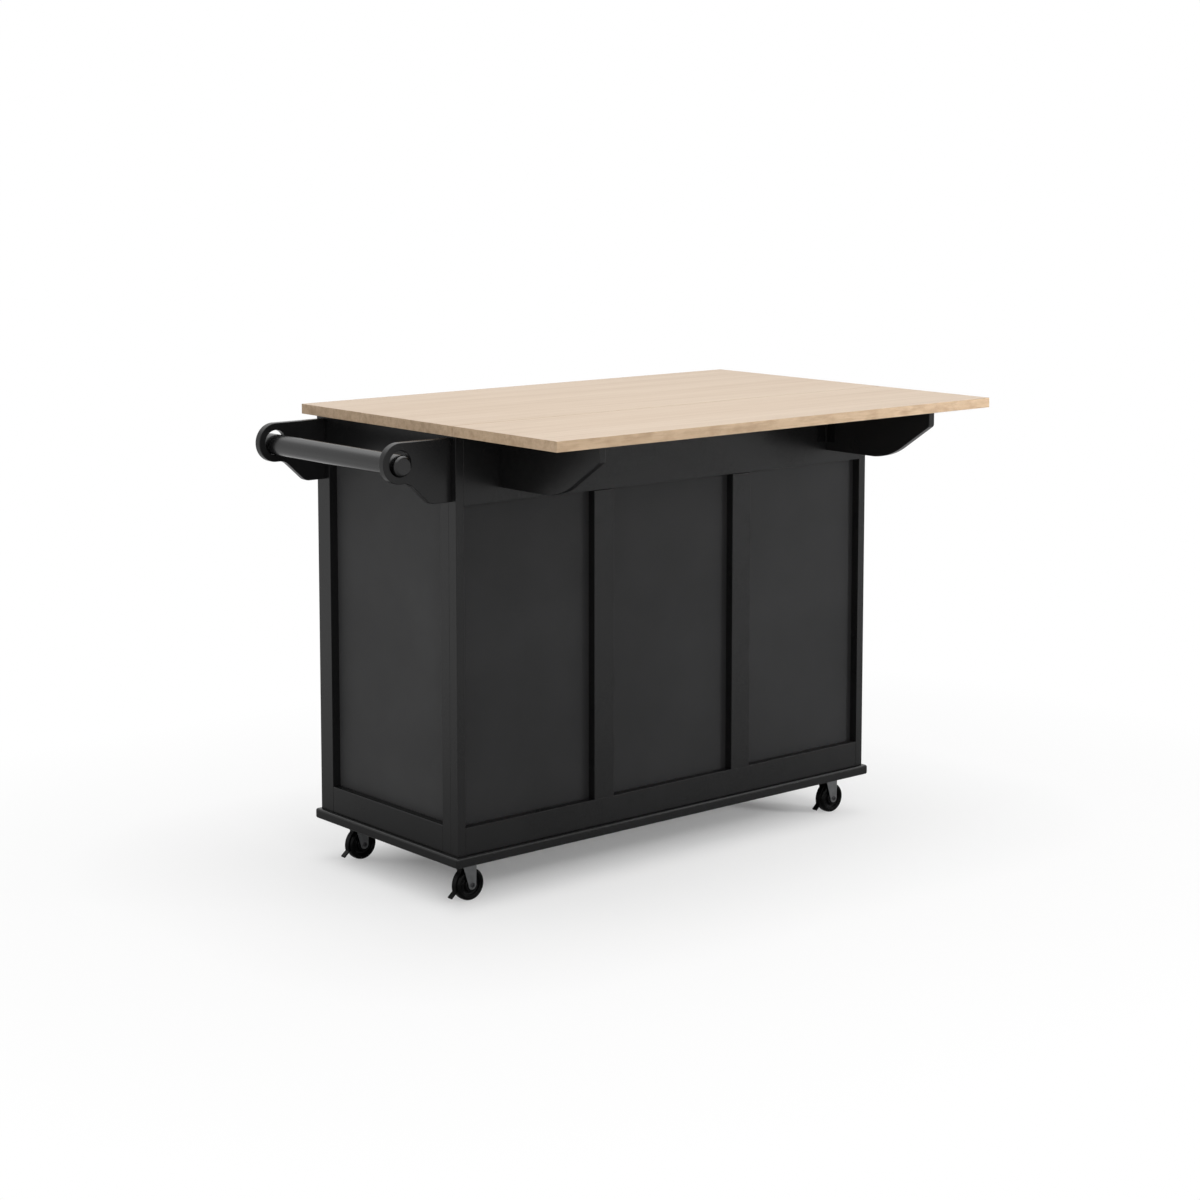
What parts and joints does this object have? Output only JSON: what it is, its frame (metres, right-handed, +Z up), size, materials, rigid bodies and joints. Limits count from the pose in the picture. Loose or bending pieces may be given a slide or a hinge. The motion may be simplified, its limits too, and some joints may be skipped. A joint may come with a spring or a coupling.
{
  "type": "kitchen cart",
  "caption": "Rolling kitchen cart with a wooden top, a lifting leaf on folding supports, cupboards, drawers and a towel rail.",
  "frame": {"origin": "on the floor, under the middle of the cart's outer box", "axes": "+X along the cart towards the towel rail, +Y towards the leaf at the back, +Z up"},
  "size_m": [1.254, 0.803, 0.92],
  "materials": {
    "natural_wood": "satin",
    "black_paint": "satin",
    "inner_wood": "satin",
    "knob_metal": "satin",
    "hinge_metal": "satin",
    "zinc": "bright zinc",
    "wheel": "matt"
  },
  "bodies": {
    "cabinet": {"worktop": "natural_wood", "base_board": "black_paint", "side_panels": "black_paint", "side_back_stiles": "black_paint", "side_front_stiles": "black_paint", "side_top_rails": "black_paint", "side_bottom_rails": "black_paint", "back_panel": "black_paint", "back_corner_stiles": "black_paint", "back_mid_stiles": "black_paint", "back_top_rail": "black_paint", "back_bottom_rail": "black_paint", "front_top_rail": "black_paint", "front_bottom_rail": "black_paint", "front_mid_stiles": "black_paint", "partitions": "inner_wood", "floor_boards": "inner_wood", "shelves": "inner_wood", "shelf_cleats": "inner_wood", "back_towel_bracket": "black_paint", "front_towel_bracket": "black_paint", "door_hinge_plates": "hinge_metal", "leaf_hinge_plates": "hinge_metal", "wing_hinge_plates": "hinge_metal", "drawer_runners": "inner_wood", "caster_plates": "zinc"},
    "towel_bar": {"towel_bar": "black_paint"},
    "leaf": {"leaf": "natural_wood", "leaf_hinge_flaps": "hinge_metal"},
    "left_wing": {"left_wing": "black_paint", "left_wing_hinge_flap": "hinge_metal"},
    "right_wing": {"right_wing": "black_paint", "right_wing_hinge_flap": "hinge_metal"},
    "left_door": {"left_door": "black_paint", "left_door_knob": "knob_metal", "left_door_hinges": "hinge_metal"},
    "right_door": {"right_door": "black_paint", "right_door_knob": "knob_metal", "right_door_hinges": "hinge_metal"},
    "drawer_1": {"drawer_1_front": "black_paint", "drawer_1_box": "inner_wood", "drawer_1_knob": "knob_metal"},
    "drawer_2": {"drawer_2_front": "black_paint", "drawer_2_box": "inner_wood", "drawer_2_knob": "knob_metal"},
    "drawer_3": {"drawer_3_front": "black_paint", "drawer_3_box": "inner_wood", "drawer_3_knob": "knob_metal"},
    "front_left_fork": {"front_left_fork": "zinc"},
    "front_left_wheel": {"front_left_wheel": "wheel"},
    "front_left_brake": {"front_left_brake": "zinc"},
    "front_right_fork": {"front_right_fork": "zinc"},
    "front_right_wheel": {"front_right_wheel": "wheel"},
    "front_right_brake": {"front_right_brake": "zinc"},
    "back_left_fork": {"back_left_fork": "zinc"},
    "back_left_wheel": {"back_left_wheel": "wheel"},
    "back_left_brake": {"back_left_brake": "zinc"},
    "back_right_fork": {"back_right_fork": "zinc"},
    "back_right_wheel": {"back_right_wheel": "wheel"},
    "back_right_brake": {"back_right_brake": "zinc"}
  },
  "joints": [
    {"name": "leaf_lift", "type": "hinge", "parent": "cabinet", "child": "leaf", "pos_m": [-0.065, 0.0985, 0.8972], "axis": [1, 0, 0], "range_deg": [0, 4]},
    {"name": "towel_bar_turn", "type": "hinge", "parent": "cabinet", "child": "towel_bar", "pos_m": [0.589, -0.148, 0.8513], "axis": [0, 1, 0], "continuous": true},
    {"name": "left_wing_fold", "type": "hinge", "parent": "cabinet", "child": "left_wing", "pos_m": [-0.4837, 0.0828, 0.84695], "axis": [0, 0, -1], "range_deg": [0, 90]},
    {"name": "right_wing_fold", "type": "hinge", "parent": "cabinet", "child": "right_wing", "pos_m": [0.3537, 0.0828, 0.84695], "axis": [0, 0, 1], "range_deg": [0, 90]},
    {"name": "left_door_swing", "type": "hinge", "parent": "cabinet", "child": "left_door", "pos_m": [-0.586, -0.3788, 0.50875], "axis": [0, 0, -1], "range_deg": [0, 110]},
    {"name": "right_door_swing", "type": "hinge", "parent": "cabinet", "child": "right_door", "pos_m": [0.456, -0.3788, 0.50875], "axis": [0, 0, 1], "range_deg": [0, 110]},
    {"name": "drawer_1_slide", "type": "slide", "parent": "cabinet", "child": "drawer_1", "axis": [0, -1, 0], "range_m": [0, 0.28]},
    {"name": "drawer_2_slide", "type": "slide", "parent": "cabinet", "child": "drawer_2", "axis": [0, -1, 0], "range_m": [0, 0.28]},
    {"name": "drawer_3_slide", "type": "slide", "parent": "cabinet", "child": "drawer_3", "axis": [0, -1, 0], "range_m": [0, 0.28]},
    {"name": "front_left_swivel", "type": "hinge", "parent": "cabinet", "child": "front_left_fork", "pos_m": [-0.551, -0.3265, 0.072], "axis": [0, 0, 1], "continuous": true},
    {"name": "front_left_roll", "type": "hinge", "parent": "front_left_fork", "child": "front_left_wheel", "pos_m": [-0.557, -0.3265, 0.0315], "axis": [0, 1, 0], "continuous": true},
    {"name": "front_left_brake_lift", "type": "hinge", "parent": "front_left_fork", "child": "front_left_brake", "pos_m": [-0.54044, -0.3265, 0.0673], "axis": [0, -1, 0], "range_deg": [0, 8]},
    {"name": "front_right_swivel", "type": "hinge", "parent": "cabinet", "child": "front_right_fork", "pos_m": [0.421, -0.3265, 0.072], "axis": [0, 0, 1], "continuous": true},
    {"name": "front_right_roll", "type": "hinge", "parent": "front_right_fork", "child": "front_right_wheel", "pos_m": [0.415, -0.3265, 0.0315], "axis": [0, 1, 0], "continuous": true},
    {"name": "front_right_brake_lift", "type": "hinge", "parent": "front_right_fork", "child": "front_right_brake", "pos_m": [0.43156, -0.3265, 0.0673], "axis": [0, -1, 0], "range_deg": [0, 8]},
    {"name": "back_left_swivel", "type": "hinge", "parent": "cabinet", "child": "back_left_fork", "pos_m": [-0.551, 0.0305, 0.072], "axis": [0, 0, 1], "continuous": true},
    {"name": "back_left_roll", "type": "hinge", "parent": "back_left_fork", "child": "back_left_wheel", "pos_m": [-0.557, 0.0305, 0.0315], "axis": [0, 1, 0], "continuous": true},
    {"name": "back_left_brake_lift", "type": "hinge", "parent": "back_left_fork", "child": "back_left_brake", "pos_m": [-0.54044, 0.0305, 0.0673], "axis": [0, -1, 0], "range_deg": [0, 8]},
    {"name": "back_right_swivel", "type": "hinge", "parent": "cabinet", "child": "back_right_fork", "pos_m": [0.421, 0.0305, 0.072], "axis": [0, 0, 1], "continuous": true},
    {"name": "back_right_roll", "type": "hinge", "parent": "back_right_fork", "child": "back_right_wheel", "pos_m": [0.415, 0.0305, 0.0315], "axis": [0, 1, 0], "continuous": true},
    {"name": "back_right_brake_lift", "type": "hinge", "parent": "back_right_fork", "child": "back_right_brake", "pos_m": [0.43156, 0.0305, 0.0673], "axis": [0, -1, 0], "range_deg": [0, 8]}
  ]
}
